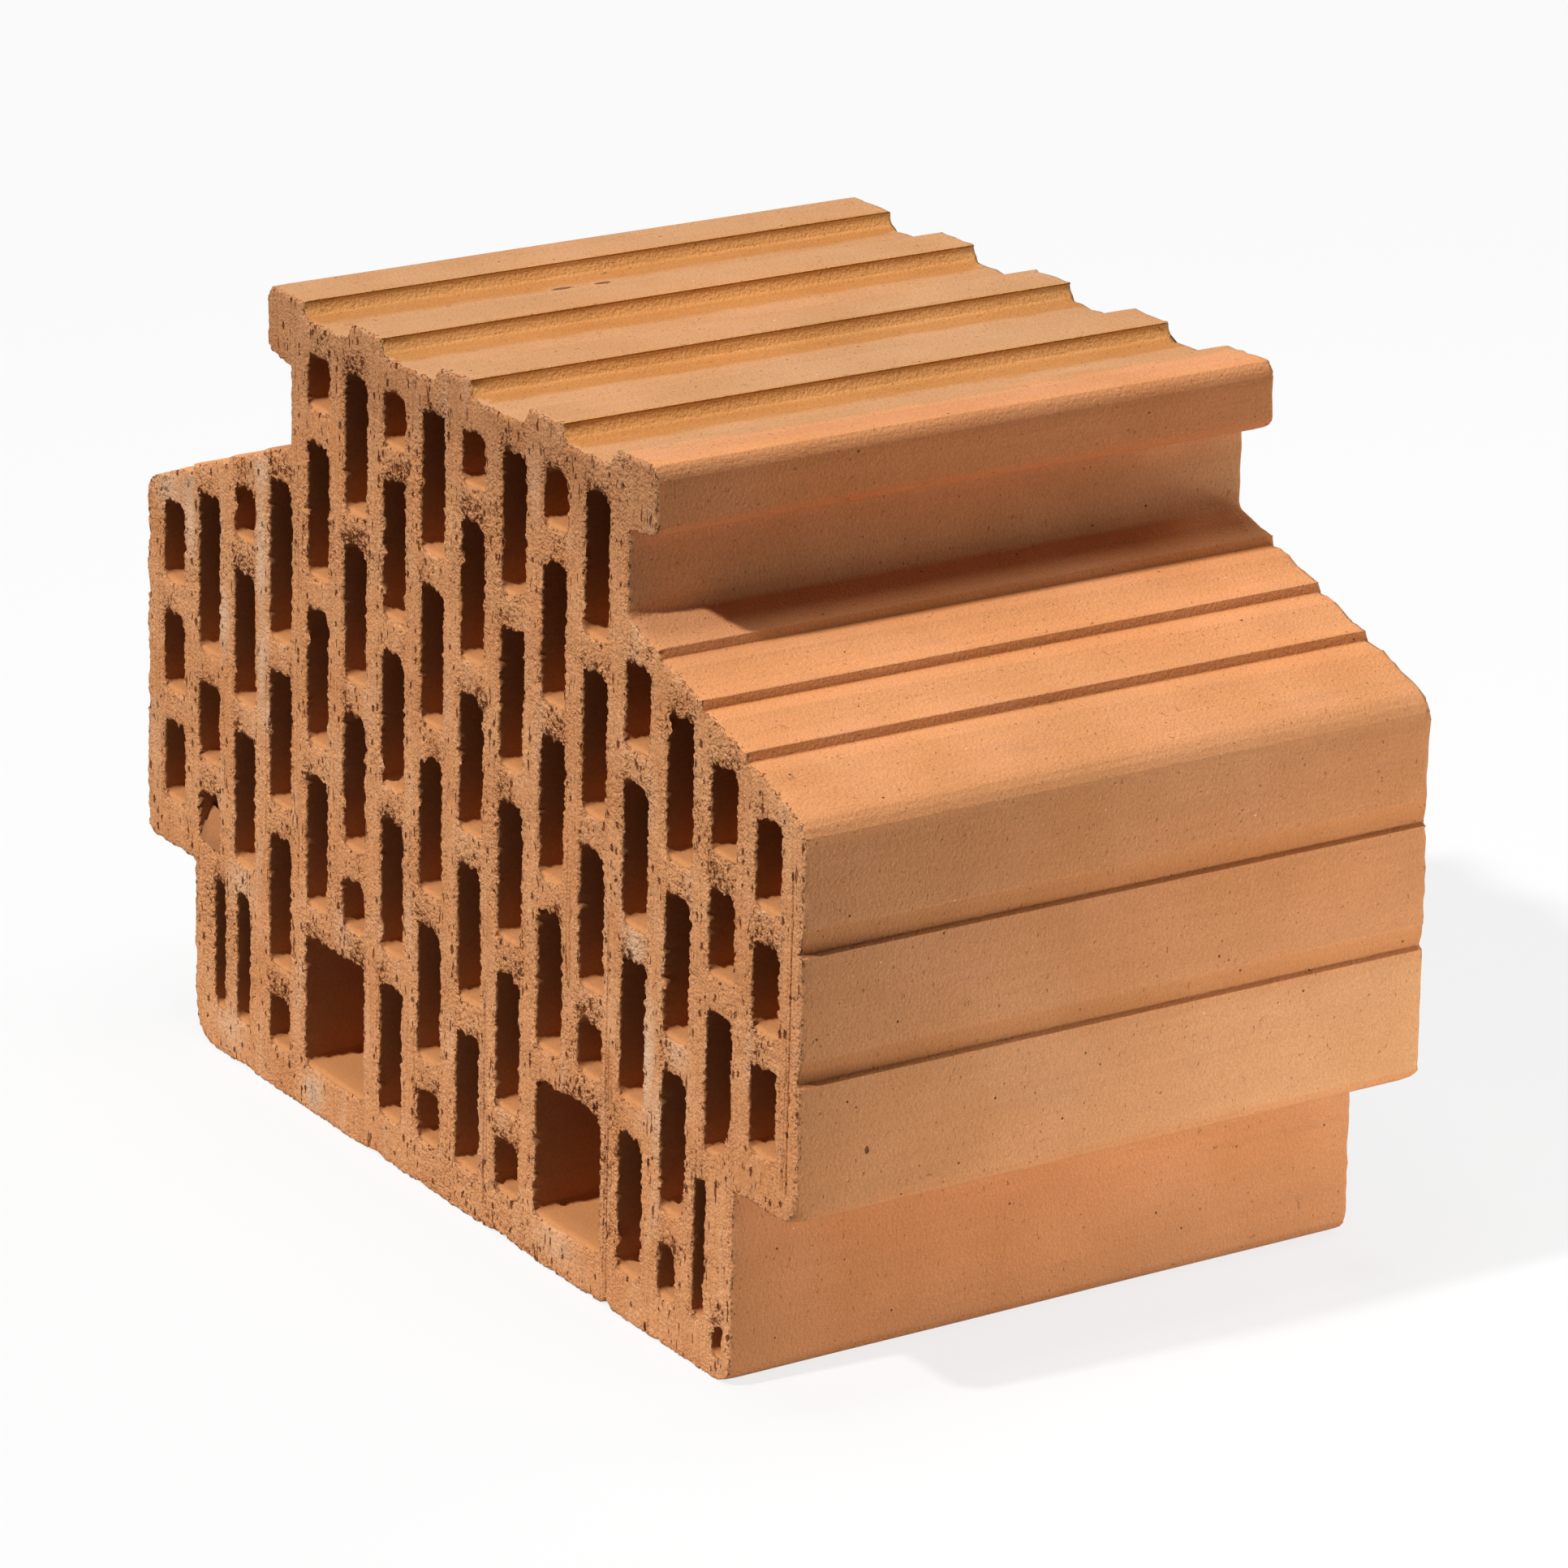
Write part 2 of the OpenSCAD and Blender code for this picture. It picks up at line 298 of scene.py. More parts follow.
def worn_rim(x, z, way, span, back, seed):
    """How far a point of a rim, back millimetres behind the cut, has shifted across and up."""
    fine = max(0.0, 1 - back / 3.0) ** 2
    deep = max(0.0, 1 - back / 6.0) ** 2
    jag = 0.5 * grain(x, z, 0.63, seed + 1) + 0.15 * grain(x, z, 2.6, seed + 2)
    if span is None:
        loss = (0.22 + 0.6 * jag) * fine + 0.9 * max(0.0, grain(x, z, 10.0, seed + 3) - 0.3) * deep
        for cx, cz, reach, depth in chips:
            gap = math.hypot(x - cx, z - cz) / reach
            if gap < 2.5 and seed == NEAR:
                loss += depth * math.exp(-gap * gap) * deep
        return -way * max(0.0, loss)
    left, right, foot, top = span
    lump = max(0.0, grain(x, z, 1.9, seed + 4) - 0.62)
    tear = max(0.0, grain(x, z, 2.4, seed + 5) - 0.6)
    loss = jag * fine + (1.8 * tear - 2.4 * lump) * max(0.0, 1 - back / 3.0)
    if way.z > 0.7:
        loss = (0.75 + 0.7 * jag) * max(0.0, 1 - back / 0.85) + 0.15 * fine - 1.5 * lump * fine
    elif way.z < -0.7:
        loss = (1.3 * jag + 0.8 * grain(x, z, 2.2, seed + 7) + 0.2) * fine + 1.5 * tear * deep
    if right - left < 9:
        loss *= 0.7
    for cx, cz, size in knots:
        gap = math.hypot(max(0.0, abs(x - cx) - 1.5), z - cz) / size
        if gap < 2.5 and seed == NEAR:
            loss -= 2.2 * math.exp(-gap * gap) * fine
    shift = -way * loss
    # The wire drags clay into the top corner on the side that it leaves.
    plump = 0.5 + 0.5 * min(1.0, max(-1.0, 1.5 * grain(left, top, 9.0, seed + 8)))
    wide = min(2.0 + 2.6 * plump, 0.42 * (right - left))
    kept = max(0.0, 1 - back / 5.0) ** 1.3
    shift += rounded(x, z, span, 1, 1, wide, 1.2 * wide) * kept
    shift += rounded(x, z, span, -1, 1, 0.45 * wide, 0.5 * wide) * kept
    for middle, floor_at, side, end, reach, tall in fills:
        if seed == NEAR and abs((left + right) / 2 - middle) < 2 and abs(foot - floor_at) < 2:
            shift += rounded(x, z, span, side, end, reach, tall) * max(0.0, 1 - back / 9.0) ** 0.8
    # The lowest slot beside the right ledge is squeezed narrow.
    if seed == NEAR and foot < 20 and abs((left + right) / 2 - 119.35) < 2:
        shift.x -= 4.2 * (x - left) / (right - left) * max(0.0, 1 - back / 8.0)
    # A slab of clay lies in the lowest slot of the left side like a ramp.
    if seed == NEAR and abs(foot - 62) < 1 and abs((left + right) / 2 + 141.05) < 2:
        rise = 9.5 * (0.12 + 0.88 * min(1.0, back / 4.5)) - 0.12 * (x - left)
        shift.z += rise * (top - z) / (top - foot)
    return shift


slots = sorted({tuple(round(n, 2) for n in span) for span in rim_of.values()})


def crumbly(x, z):
    """How crumbly the cut is, from 0 to 1. The clay breaks up most in the webs above the slots."""
    most = 0.0
    for left, right, foot, top in slots:
        if left - 1 < x < right + 1 and top - 1 < z < top + 10:
            most = max(most, 1 - abs(z - top - 2.5) / 7)
    patch = 0.5 + 0.9 * grain(x, z, 13.0, 21)
    for cx, cz, size in knots:
        most = max(most, 1.6 * math.exp(-((x - cx) ** 2 + (z - cz) ** 2) / (2 * size * size)))
    return min(1.0, max(0.0, most * patch + 0.35 * max(0.0, grain(x, z, 30.0, 22))))


def sunk(x, z, seed):
    """How far the cut lies behind the wire's plane, away from any rim."""
    sink = 0.34 + 0.20 * grain(x, z, 24.0, seed + 10) + 0.08 * grain(x, z, 2.4, seed + 11)
    crumb = crumbly(x, z)
    sink += crumb * (0.45 * grain(x, z, 1.7, seed + 15) + 0.35 * grain(x, z, 3.1, seed + 16) + 0.25)
    pits = max(0.0, grain(x * 1.9, z * 0.6, 2.6, seed + 12) - 0.7)
    sink += 1.6 * pits
    if seed == NEAR:
        for across_at, foot, top, depth in scores:
            if foot - 1 <= z <= top + 1 and abs(x - across_at) < score_core:
                sink += depth * (0.75 + 0.25 * grain(x, z, 5.0, 13))
    return max(0.0, sink)


def rim_sunk(x, z, way, seed):
    """How much further the rim itself is rounded away."""
    return 0.28 + 0.25 * max(-1.0, grain(x, z, 1.8, seed + 14)) + (0.25 if way.z > 0.7 else 0.0)


half = (low.y + high.y) / 2
moves, rim_gap = {}, {}
for v in clay.verts:
    if v.index not in out_way:
        continue
    near = v.co.y < half
    back = (v.co.y - low.y if near else high.y - v.co.y) / mm
    if back < worn_back:
        x, z, seed, way = v.co.x / mm, v.co.z / mm, NEAR if near else FAR, out_way[v.index]
        shift = worn_rim(x, z, way, rim_of.get(v.index), back, seed)
        sink = (sunk(x, z, seed) + rim_sunk(x, z, way, seed)) * (1 - back / worn_back) ** 2
        moves[v.index] = (shift, sink)
for near in (True, False):
    ends = [v for v in clay.verts if abs(v.co.y - (low.y if near else high.y)) < same_ring]
    rim = [v for v in ends if v.index in out_way]
    tree = kdtree.KDTree(len(rim))
    for k, v in enumerate(rim):
        tree.insert(v.co, k)
    tree.balance()
    for v in ends:
        if v.index in out_way:
            continue
        x, z, seed = v.co.x / mm, v.co.z / mm, NEAR if near else FAR
        shift, total = Vector(), 0.0
        for spot, k, gap in tree.find_n(v.co, 6):
            share = 1 / (0.3 + gap / mm) ** 2
            shift += moves[rim[k].index][0] * share
            total += share
        gap = rim_gap[v.index] = tree.find(v.co)[2] / mm
        sink = sunk(x, z, seed) + rim_sunk(x, z, Vector(), seed) * math.exp(-gap / 0.8)
        moves[v.index] = (shift / total * max(0.0, 1 - gap / 4.5), sink)

# The near cut leans back as it rises, and the drawn faces waver.
lean = 0.0245
for v in clay.verts:
    if v.index in moves:
        shift, sink = moves[v.index]
        v.co += shift * mm
        v.co.y += sink * mm if v.co.y < half else -sink * mm
    if v.index in out_way and v.index not in rim_of:
        ripple = 0.1 + 0.09 * noise.noise(Vector((v.co.x * 40, v.co.y * 18, v.co.z * 40)))
        v.co -= out_way[v.index] * ripple * mm
    set_back = lean * (v.co.z - low.z)
    v.co.y = low.y + (v.co.y - low.y) * (1 - set_back / length) + set_back
    v.co = Vector([min(max(c, a), b) for c, a, b in zip(v.co, low, high)])

# Pale films of lime and fine clay on the near cut: place across and up, reach across and up, strength.
films = (
    (-166, 163, 9, 9, 0.8), (-153, 158, 6, 14, 0.9), (-132, 133, 4, 11, 0.9), (-109, 183, 5, 8, 0.8),
    (-109, 158, 4, 18, 1.0), (-108, 128, 4, 16, 0.8), (-104, 112, 7, 6, 0.7), (98, 104, 6, 10, 0.9),
    (106, 78, 4, 17, 1.0), (112, 62, 4, 12, 0.7), (-77, 7, 7, 6, 0.9), (-128, 10, 10, 7, 0.6),
    (-122, 55, 9, 7, 0.6), (60, 9, 12, 5, 0.5), (121, 84, 6, 5, 0.6), (-60, 62, 5, 9, 0.4),
    (8, 120, 4, 16, 0.35),
)
# Grey stains: place across and up, and reach across and up.
stains = (
    (-153, 168.5, 3.2, 2.2), (-77, 6, 3.4, 4.2), (145, 6, 1.6, 2.4), (86, 60, 2.4, 1.6), (-137, 52, 2, 2),
)

# What each spot of clay has been through, which the finishes read.
film = clay.verts.layers.float.new("film")
stain = clay.verts.layers.float.new("stain")
tan = clay.verts.layers.float.new("tan")
crumb = clay.verts.layers.float.new("crumb")
painted_light_and_shade = clay.verts.layers.float.new("painted_light_and_shade")
crease_shade = clay.verts.layers.float.new("crease_shade")
rib = clay.verts.layers.float.new("rib")
edge = clay.verts.layers.float.new("edge")
score_shade = clay.verts.layers.float.new("score_shade")
near_cut, cut_reach = low.y / mm, 14
for v in clay.verts:
    x, y, z = v.co / mm
    deep = block_top - z
    on_wall, in_slot = v.index in out_way, v.index in rim_of
    if y < near_cut + cut_reach:
        patch = 0.55 * max(0.0, grain(x * 2.2, z * 0.35, 9.0, 31) - 0.45)
        for cx, cz, wide, tall, strength in films:
            gap = math.hypot((x - cx) / wide, (z - cz) / tall)
            patch = max(patch, strength * (1.3 - gap))
        v[film] = min(1.0, max(0.0, patch))
        v[stain] = max(
            max(0.0, 1.2 - math.hypot((x - cx) / wide, (z - cz) / tall)) for cx, cz, wide, tall in stains)
        v[crumb] = min(1.0, crumbly(x, z) + 0.4 * math.exp(-rim_gap.get(v.index, 0.0) / 1.2))
        # The depth of the scores, which their painted shade reads.
        if not on_wall:
            v[score_shade] = max([0.0] + [
                depth for at, foot, top, depth in scores if abs(x - at) < score_core and foot < z < top])
    if on_wall:
        v[edge] = max(0.0, 1 - (y - near_cut - lean * z) / 3.0)
    if on_wall and not in_slot:
        # The top fires tan, out to its left edge but not to its right one.
        if z > 226:
            v[tan] = 1.0 if x < 0 else between(x, (0, 1), (80, 1), (89, 0.7), (99, 0.3), (103, 0))
        # Painted shade makes some faces browner, above 0, and painted light makes some paler, below 0.
        if neck_side + 0.5 < x < head_side + 1.5 and head_foot < z < block_top:
            v[painted_light_and_shade] = between(y, (-101, 0.0), (0, 0.25), (101, 0.05))
            v[painted_light_and_shade] += between(
                z, (head_foot, 0.4), (219.5, 0.4), (223, 0.0), (230, 0.0), (234, 0.3), (block_top, 0.0))
        elif abs(abs(x) - neck_side) < 1 and neck_foot + 1.5 < z < head_foot:
            v[painted_light_and_shade] = -1.0
        elif abs(x) > flange_side - 4 and z > 60:
            v[painted_light_and_shade] = between(z, (60, -0.9), (90, -0.7), (93.5, 0.05), (128, 0.1), (150, 0.05), (158, 0.0))
            if v[painted_light_and_shade] < 0:
                v[painted_light_and_shade] *= between(y, (-101, 0.1), (0, 0.3), (101, 0.7))
        elif x > body_side - 10 and z < ledge + 1:
            v[painted_light_and_shade] = 0.12
        # Painted shade darkens each side groove towards its foot and the step behind each lip, and the ribs'
        # ochre sides carry a painted shadow under each crest.
        for foot in groove_feet:
            if flange_side - 10 < abs(x) < flange_side - 0.15 and foot < z < foot + 8:
                v[crease_shade] = between(z - foot, (0, 0.6), (1, 0.8), (3, 0.65), (7.3, 0.35), (7.8, 0.0))
                v[crease_shade] *= between(y, (-101, 1.35), (-60, 1.1), (0, 0.9), (101, 0.75))
        for lip in lips:
            if abs(abs(x) - lip) < 1.2 and z > 160:
                v[crease_shade] = between(abs(x) - lip, (-1.2, 0), (-0.7, 0.1), (-0.1, 0.8), (0.3, 0.8), (1.2, 0))
        for crest in crests:
            if -0.2 < x - crest < 20:
                v[rib] = between(
                    deep, (0, 0), (0.33, 1.0), (1.2, 0.8), (2.4, 0.72), (4.0, 0.45), (4.6, 0.3), (5, 0.3))
                v[rib] *= between(x - crest, (-1, 1), (6.5, 1), (12 if crest > 50 else 10.5, 0))

mesh = bpy.data.meshes.new("clay_block")
clay.to_mesh(mesh)
clay.free()
mesh.shade_smooth()
mesh.set_sharp_from_angle(angle=math.radians(42))
block = bpy.data.objects.new("clay_block", mesh)
bpy.context.scene.collection.objects.link(block)
evened = block.modifiers.new("flat_faces_stay_flat", "WEIGHTED_NORMAL")
evened.keep_sharp = True


def new_finish(name, roughness):
    """An empty finish, and the shader that its colour and relief go to."""
    material = bpy.data.materials.new(name)
    material.use_nodes = True
    shader = material.node_tree.nodes["Principled BSDF"]
    shader.inputs["Roughness"].default_value = roughness
    shader.inputs["Specular IOR Level"].default_value = 0.12
    return material, shader


def add(material, kind, inputs=None, **settings):
    """One step of a finish. Each of its inputs is a value or an earlier step's output."""
    step = material.node_tree.nodes.new("ShaderNode" + kind)
    for key, value in settings.items():
        setattr(step, key, value)
    for socket, value in (inputs or {}).items():
        if isinstance(value, bpy.types.NodeSocket):
            material.node_tree.links.new(value, step.inputs[socket])
        else:
            step.inputs[socket].default_value = value
    return step


def speckle(material, size, detail=2.0, stretch=(1, 1, 1), shift=0.0, rough=0.5):
    """A soft random value whose spots are about size millimetres."""
    where = add(material, "TexCoord").outputs["Object"]
    placed = add(material, "Mapping", {"Vector": where, "Scale": stretch, "Location": (shift, shift, shift)})
    spots = add(material, "TexNoise", {
        "Vector": placed.outputs["Vector"], "Scale": 1000 / size, "Detail": detail, "Roughness": rough})
    return spots.outputs["Fac"]


def shades(material, value, *stops):
    """Colours, or greys, at places along a value from 0 to 1."""
    band = add(material, "ValToRGB", {"Fac": value})
    ramp = band.color_ramp
    for k, (place, shade) in enumerate(stops):
        shade = shade if isinstance(shade, tuple) else (shade,) * 3
        if k < 2:
            ramp.elements[k].position = place
        element = ramp.elements[k] if k < 2 else ramp.elements.new(place)
        element.color = (*shade, 1)
    return band.outputs["Color"]


def mix(material, share, first, second, how="MIX"):
    """Two colours laid over each other."""
    first = (*first, 1) if isinstance(first, tuple) else first
    second = (*second, 1) if isinstance(second, tuple) else second
    laid = add(material, "Mix", {0: share, 6: first, 7: second}, data_type="RGBA", blend_type=how)
    return laid.outputs[2]


def sums(material, how, first, second):
    """Two values added, subtracted, multiplied or compared."""
    return add(material, "Math", {0: first, 1: second}, operation=how).outputs["Value"]


# The wire's cut: fine grit, pits and gouges dragged upward, crumbs, wiped streaks, and pale films. Painted
# shade darkens the scores, pits, gouges and hollows.
torn, shader = new_finish("torn_clay", 0.95)
grit = speckle(torn, 0.6, 2.0, shift=0.1)
crumbs = speckle(torn, 1.7, 3.5, shift=0.3, rough=0.6)
patches = sums(torn, "MULTIPLY", speckle(torn, 9.0, 3.0, shift=0.15), 0.45)
where = add(torn, "TexCoord").outputs["Object"]
placed = add(torn, "Mapping", {"Vector": where, "Scale": (1, 1, 0.62)}).outputs["Vector"]
cells = add(torn, "TexVoronoi", {"Vector": placed, "Scale": 1000 / 2.4})
chance = add(torn, "SeparateXYZ", {0: cells.outputs["Color"]}).outputs["X"]
chance = sums(torn, "SUBTRACT", chance, sums(torn, "SUBTRACT", patches, 0.22))
pits = sums(torn, "ADD", cells.outputs["Distance"], shades(torn, chance, (0.30, 0.5), (1.0, 0.0)))
pits = sums(torn, "ADD", pits, sums(torn, "MULTIPLY", grit, 0.5))
gouges = sums(torn, "ADD", speckle(torn, 1.2, 2.0, (1, 1, 0.22), 0.62), patches)
broken = add(torn, "Attribute", attribute_name="crumb").outputs["Fac"]
hollows = sums(torn, "SUBTRACT", crumbs, sums(torn, "MULTIPLY", broken, 0.17))
cloud = speckle(torn, 26.0, 3.0, shift=0.7)
colour = shades(torn, grit, (0.34, (0.68, 0.300, 0.123)), (0.46, (0.80, 0.370, 0.160)),
                (0.58, (0.85, 0.408, 0.183)), (0.72, (0.94, 0.50, 0.26)))
clouded = shades(torn, cloud, (0.35, (0.95, 0.87, 0.80)), (0.65, (1.05, 1.06, 1.08)))
colour = mix(torn, 1.0, colour, clouded, "MULTIPLY")
streaks = speckle(torn, 1.6, 3.0, (1, 1, 0.14), 0.9)
wiped = speckle(torn, 1.1, 3.0, (1, 1, 0.06), 0.45, 0.6)
wiped_clay = shades(torn, wiped, (0.36, (0.90, 0.88, 0.86)), (0.60, (1.05, 1.05, 1.05)))
colour = mix(torn, 1.0, colour, wiped_clay, "MULTIPLY")
# The top of the cut, which the wire leaves last, is browner.
up = sums(torn, "MULTIPLY", add(torn, "SeparateXYZ", {0: where}).outputs["Z"], 4.0)
up = sums(torn, "ADD", up, sums(torn, "MULTIPLY", cloud, 0.2))
colour = mix(torn, 1.0, colour, shades(torn, up, (0.90, (1, 1, 1)), (0.98, (0.80, 0.79, 0.80))), "MULTIPLY")
cover = add(torn, "Attribute", attribute_name="film").outputs["Fac"]
cover = sums(torn, "MULTIPLY", cover, shades(torn, streaks, (0.34, 0.45), (0.46, 1.0)))
colour = mix(torn, cover, colour, (0.90, 0.56, 0.345))
spot = add(torn, "Attribute", attribute_name="stain").outputs["Fac"]
spot = sums(torn, "MULTIPLY", spot, shades(torn, crumbs, (0.42, 0.0), (0.60, 0.9)))
colour = mix(torn, spot, colour, (0.25, 0.24, 0.19))
score_shade_depth = add(torn, "Attribute", attribute_name="score_shade").outputs["Fac"]
# Painted shade in the scores, pits, gouges and hollows.
for clear, deep in (
    (shades(torn, score_shade_depth, (0.15, 1.0), (0.75, 0.0)), (0.34, 0.22, 0.15)),
    (shades(torn, pits, (0.53, 0.0), (0.60, 1.0)), (0.30, 0.19, 0.13)),
    (shades(torn, gouges, (0.485, 0.0), (0.535, 1.0)), (0.36, 0.22, 0.15)),
    (shades(torn, hollows, (0.27, 0.0), (0.35, 1.0)), (0.28, 0.17, 0.11)),
):
    colour = mix(torn, 1.0, colour, mix(torn, clear, deep, (1, 1, 1)), "MULTIPLY")
torn.node_tree.links.new(colour, shader.inputs["Base Color"])
rough_crumbs = sums(torn, "MULTIPLY", crumbs, sums(torn, "ADD", sums(torn, "MULTIPLY", broken, 3.0), 0.9))
sand = add(torn, "TexVoronoi", {"Vector": where, "Scale": 1000 / 0.75}).outputs["Distance"]
lumps = add(torn, "TexVoronoi", {"Vector": where, "Scale": 1000 / 1.5}).outputs["Distance"]
lumps = sums(torn, "MULTIPLY", lumps, sums(torn, "ADD", sums(torn, "MULTIPLY", broken, 1.6), 0.3))
sandy = shades(torn, patches, (0.17, 0.16), (0.29, 0.60))
sandy = sums(torn, "ADD", sandy, sums(torn, "MULTIPLY", broken, 0.7))
height = sums(torn, "SUBTRACT", rough_crumbs, sums(torn, "MULTIPLY", sand, sandy))
height = sums(torn, "SUBTRACT", height, lumps)
height = sums(torn, "ADD", height, sums(torn, "MULTIPLY", wiped, 1.1))
height = sums(torn, "ADD", height, shades(torn, pits, (0.48, 0.0), (0.64, 1.3)))
height = sums(torn, "ADD", height, shades(torn, gouges, (0.475, 0.0), (0.55, 1.2)))
relief = add(torn, "Bump", {"Height": height, "Strength": 1.0, "Distance": 0.5 * mm})
torn.node_tree.links.new(relief.outputs["Normal"], shader.inputs["Normal"])

# The die's faces: fine and close, with hair cracks, a few pinholes and pocks, all darkened with painted
# shade, and lime specks.
# The top fires to tan, with a pinkish band where the tan ends.
drawn_clay = (0.760, 0.336, 0.138)
tan_clay, pink_clay = (0.605, 0.308, 0.142), (0.71, 0.322, 0.152)
painted_shade_clay, painted_light_clay = (0.55, 0.213, 0.083), (0.82, 0.432, 0.198)
drawn, shader = new_finish("drawn_clay", 0.8)
fine = speckle(drawn, 0.55, 3.0, shift=0.2)
hammered = speckle(drawn, 0.95, 3.0, (1, 0.95, 0.8), 0.4, 0.6)
pocks = speckle(drawn, 1.1, 1.0, (1, 1, 0.7), 0.9)
cloud = speckle(drawn, 32.0, 4.0, shift=0.6)
drag = speckle(drawn, 2.2, 3.0, (1, 0.03, 1), 0.8)
bloom = speckle(drawn, 70.0, 3.0, (1, 0.5, 1), 0.27)
tan_share = add(drawn, "Attribute", attribute_name="tan").outputs["Fac"]
tan_share = sums(drawn, "ADD", tan_share, speckle(drawn, 9.0, 5.0, (1, 0.3, 1), rough=0.6))
tan_share = sums(drawn, "MULTIPLY", tan_share, 0.8)
pinkish = shades(drawn, tan_share, (0.45, 0.0), (0.64, 0.9), (0.84, 0.9), (0.98, 0.0))
tan_share = shades(drawn, tan_share, (0.84, 0.0), (0.98, 1.0))
colour = mix(drawn, tan_share, drawn_clay, tan_clay)
colour = mix(drawn, pinkish, colour, pink_clay)
# The right sides of the ribs and the floor beside them fire to ochre; painted light brightens the upright
# face and a painted shadow darkens it under the crest.
ochre_and_shade_amount = add(drawn, "Attribute", attribute_name="rib").outputs["Fac"]
blotches = sums(drawn, "MULTIPLY", speckle(drawn, 7.0, 4.0, (1, 0.4, 1), 0.33), 0.3)
ochre_and_shade_share = shades(drawn, sums(drawn, "ADD", ochre_and_shade_amount, blotches), (0.22, 0.0), (0.36, 1.0))
ochre_light_and_shade = shades(drawn, ochre_and_shade_amount, (0.30, (0.535, 0.226, 0.066)), (0.46, (0.74, 0.345, 0.11)),
                (0.76, (0.80, 0.41, 0.135)), (0.86, (0.72, 0.36, 0.11)), (0.95, (0.40, 0.16, 0.045)))
colour = mix(drawn, ochre_and_shade_share, colour, ochre_light_and_shade)
# Painted shade makes some faces browner and painted light makes some paler.
painted_light_and_shade_amount = add(drawn, "Attribute", attribute_name="painted_light_and_shade").outputs["Fac"]
colour = mix(drawn, painted_light_and_shade_amount, colour, painted_shade_clay)
colour = mix(drawn, sums(drawn, "MULTIPLY", painted_light_and_shade_amount, -1.0), colour, painted_light_clay)
# Painted shade in the side grooves and behind the lips.
crease_shade_amount = add(drawn, "Attribute", attribute_name="crease_shade").outputs["Fac"]
crease_shade_tint = shades(drawn, crease_shade_amount, (0.0, (1, 1, 1)), (0.3, (0.95, 0.91, 0.84)), (0.7, (0.80, 0.74, 0.64)),
               (1.0, (0.42, 0.34, 0.26)))
colour = mix(drawn, 1.0, colour, crease_shade_tint, "MULTIPLY")
colour = mix(drawn, 1.0, colour, shades(drawn, fine, (0.32, 0.90), (0.68, 1.09)), "MULTIPLY")
clouded = shades(drawn, cloud, (0.35, (0.95, 0.925, 0.88)), (0.65, (1.04, 1.045, 1.08)))
colour = mix(drawn, 1.0, colour, clouded, "MULTIPLY")
colour = mix(drawn, 1.0, colour, shades(drawn, drag, (0.35, 0.98), (0.65, 1.02)), "MULTIPLY")
bloomed = shades(drawn, bloom, (0.38, (1.03, 1.0, 0.97)), (0.62, (0.97, 1.0, 1.04)))
colour = mix(drawn, 1.0, colour, bloomed, "MULTIPLY")
where = add(drawn, "TexCoord").outputs["Object"]
wavy = add(drawn, "VectorMath", {
    0: add(drawn, "TexNoise", {"Vector": where, "Scale": 500.0, "Detail": 2.0}).outputs["Color"],
    1: (0.0035, 0.0035, 0.0035), 2: where}, operation="MULTIPLY_ADD").outputs["Vector"]
# Hair cracks, pinholes and pocks are darkened with painted shade.
cracks = add(drawn, "TexVoronoi", {"Vector": wavy, "Scale": 260.0}, feature="DISTANCE_TO_EDGE")
cracks = shades(drawn, cracks.outputs["Distance"], (0.010, 1.0), (0.040, 0.0))
where_cracked = shades(drawn, speckle(drawn, 5.0, 2.0, shift=1.1), (0.67, 0.0), (0.73, 0.6))
cracks = sums(drawn, "MULTIPLY", cracks, where_cracked)
colour = mix(drawn, cracks, colour, (0.40, 0.155, 0.060))
holes = add(drawn, "TexVoronoi", {"Vector": where, "Scale": 110.0}).outputs["Distance"]
holes = shades(drawn, holes, (0.026, 1.0), (0.042, 0.0))
colour = mix(drawn, holes, colour, (0.20, 0.085, 0.038))
placed = add(drawn, "Mapping", {"Vector": where, "Location": (0.31, 0.17, 0.23)}).outputs["Vector"]
lime = add(drawn, "TexVoronoi", {"Vector": placed, "Scale": 75.0}).outputs["Distance"]
lime = shades(drawn, lime, (0.014, 0.8), (0.026, 0.0))
colour = mix(drawn, lime, colour, (0.95, 0.80, 0.66))
pocks = shades(drawn, pocks, (0.21, 1.0), (0.28, 0.0))
colour = mix(drawn, sums(drawn, "MULTIPLY", pocks, 0.45), colour, (0.36, 0.14, 0.052))
# Two nicks in a groove of the top, and a deep pit low on the right side, darkened with painted shade.
for spot, stretch in (
    ((-0.0746, -0.0167, 0.2332), (1, 0.3, 1)), ((-0.0739, -0.0038, 0.2332), (1, 0.4, 1)),
    ((0.18, -0.0767, 0.0728), (1.5, 1.5, 0.9)),
):
    away = add(drawn, "VectorMath", {0: where, 1: spot}, operation="SUBTRACT").outputs["Vector"]
    away = add(drawn, "VectorMath", {0: away, 1: stretch}, operation="MULTIPLY").outputs["Vector"]
    away = add(drawn, "VectorMath", {0: away}, operation="LENGTH").outputs["Value"]
    away = sums(drawn, "ADD", sums(drawn, "MULTIPLY", away, 500.0), sums(drawn, "MULTIPLY", fine, 0.4))
    nick = shades(drawn, away, (0.55, 1.0), (0.75, 0.0))
    colour = mix(drawn, nick, colour, (0.22, 0.09, 0.04))
    holes = sums(drawn, "ADD", holes, nick)
